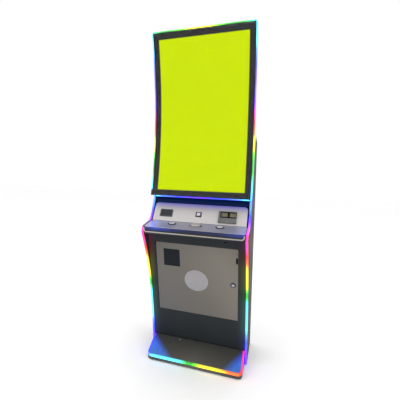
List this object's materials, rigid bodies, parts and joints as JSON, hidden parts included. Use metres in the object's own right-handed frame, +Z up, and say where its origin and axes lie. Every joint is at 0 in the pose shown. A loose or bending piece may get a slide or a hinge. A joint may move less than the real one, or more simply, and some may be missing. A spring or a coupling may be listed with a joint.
{
  "type": "slot machine",
  "caption": "Free-standing slot machine with a tall curved screen, a sloping button deck, a lockable front door, a rear service door, a lit edge and a wedge footrest.",
  "frame": {"origin": "middle of the footprint's bounding box, on the floor", "axes": "+Z up, the player stands on the -Y side, +X is to the player's right"},
  "size_m": [0.612, 0.6002, 2.079],
  "materials": {
    "black_laminate": "smooth black laminate on board",
    "light_diffuser": "translucent diffuser lit from behind",
    "rubber": "moulded rubber",
    "charcoal_paint": "fine textured powder coat",
    "warm_grey_paint": "satin powder coat",
    "disc_grey": "satin printed disc",
    "chrome": "polished chrome plate",
    "silver_paint": "satin metallic paint",
    "black_gloss": "gloss black moulding",
    "black_plastic": "fine grained moulding",
    "white_lens": "translucent white cap, lit",
    "grey_plastic": "fine grained moulding",
    "touch_glass": "clear bonded cover glass",
    "screen_lit": "lit display panel",
    "steel": "plain plated steel",
    "zinc_sheet": "zinc plated sheet",
    "equipment_case": "closed equipment box"
  },
  "bodies": {
    "cabinet": {"base_light": "light_diffuser", "base_plate": "black_laminate", "bill_bezel": "grey_plastic", "bill_lattice": "black_plastic", "bill_validator": "black_plastic", "brow_light": "light_diffuser", "cash_box": "grey_plastic", "chrome_trim": "chrome", "deck_fascia": "black_gloss", "deck_ledge": "silver_paint", "deck_upper_panel": "silver_paint", "display_bezel": "black_plastic", "display_lens": "touch_glass", "door_hinge_fixed_leaf": "charcoal_paint", "equipment_shelf": "zinc_sheet", "fan_frame": "black_plastic", "floor_pan": "charcoal_paint", "foot_front_left": "rubber", "foot_front_right": "rubber", "foot_rear_left": "rubber", "foot_rear_right": "rubber", "front_frame": "charcoal_paint", "game_computer": "equipment_case", "lcd_panel": "screen_lit", "left_button_rim": "black_plastic", "neck_panel": "charcoal_paint", "power_inlet": "black_plastic", "power_supply": "equipment_case", "rear_hinge_fixed_leaf": "charcoal_paint", "rear_upper_panel": "charcoal_paint", "right_button_rim": "black_plastic", "screen_bracket": "steel", "screen_corner_cap": "black_gloss", "screen_housing": "black_plastic", "screen_light": "light_diffuser", "service_button_rim": "black_plastic", "side_light_left": "light_diffuser", "side_light_right": "light_diffuser", "side_panel_left": "black_laminate", "side_panel_right": "black_laminate", "speaker_left": "black_plastic", "speaker_right": "black_plastic", "spin_button_rim": "chrome", "top_cover": "charcoal_paint", "touch_glass": "touch_glass"},
    "main_door": {"main_door": "warm_grey_paint", "blanking_plate": "charcoal_paint", "door_disc": "disc_grey", "door_hinge_door_leaf": "charcoal_paint", "lock_barrel": "chrome"},
    "door_lock": {"door_lock": "chrome"},
    "rear_door": {"rear_door": "charcoal_paint", "rear_hinge_door_leaf": "charcoal_paint"},
    "rear_lock": {"rear_lock": "chrome"},
    "left_button": {"left_button_cap": "white_lens"},
    "right_button": {"right_button_cap": "white_lens"},
    "spin_button": {"spin_button_cap": "white_lens"},
    "service_button": {"service_button_cap": "white_lens"},
    "fan": {"fan_rotor": "black_plastic"},
    "power_switch": {"power_rocker": "black_plastic"}
  },
  "joints": [
    {"name": "main_door_hinge", "type": "hinge", "parent": "cabinet", "child": "main_door", "pos_m": [-0.2509, -0.11815, 0.53831], "axis": [0, 0.2255, -0.9743], "range_deg": [0, 105]},
    {"name": "door_lock_turn", "type": "hinge", "parent": "main_door", "child": "door_lock", "pos_m": [0.2197, -0.11767, 0.54067], "axis": [0, -0.9743, -0.2255], "range_deg": [0, 90]},
    {"name": "rear_door_hinge", "type": "hinge", "parent": "cabinet", "child": "rear_door", "pos_m": [0.288, 0.297, 0.4965], "axis": [0, 0, -1], "range_deg": [0, 110]},
    {"name": "rear_lock_turn", "type": "hinge", "parent": "rear_door", "child": "rear_lock", "pos_m": [0, 0.296, 0.86], "axis": [0, 1, 0], "range_deg": [0, 90]},
    {"name": "left_button_press", "type": "slide", "parent": "cabinet", "child": "left_button", "axis": [0, 0.0794, -0.9968], "range_m": [0, 0.0025], "stiffness_N_per_m": 800, "springref_m": -0.002},
    {"name": "right_button_press", "type": "slide", "parent": "cabinet", "child": "right_button", "axis": [0, 0.0794, -0.9968], "range_m": [0, 0.0025], "stiffness_N_per_m": 800, "springref_m": -0.002},
    {"name": "spin_button_press", "type": "slide", "parent": "cabinet", "child": "spin_button", "axis": [0, 0.0794, -0.9968], "range_m": [0, 0.0035], "stiffness_N_per_m": 800, "springref_m": -0.002},
    {"name": "service_button_press", "type": "slide", "parent": "cabinet", "child": "service_button", "axis": [0, 0.7521, -0.6591], "range_m": [0, 0.002], "stiffness_N_per_m": 800, "springref_m": -0.002},
    {"name": "fan_spin", "type": "hinge", "parent": "cabinet", "child": "fan", "pos_m": [0, 0.281, 1.15], "axis": [0, 1, 0], "continuous": true},
    {"name": "power_switch_rock", "type": "hinge", "parent": "cabinet", "child": "power_switch", "pos_m": [-0.13, 0.292, 0.06], "axis": [-1, 0, 0], "range_deg": [0, 20]}
  ]
}
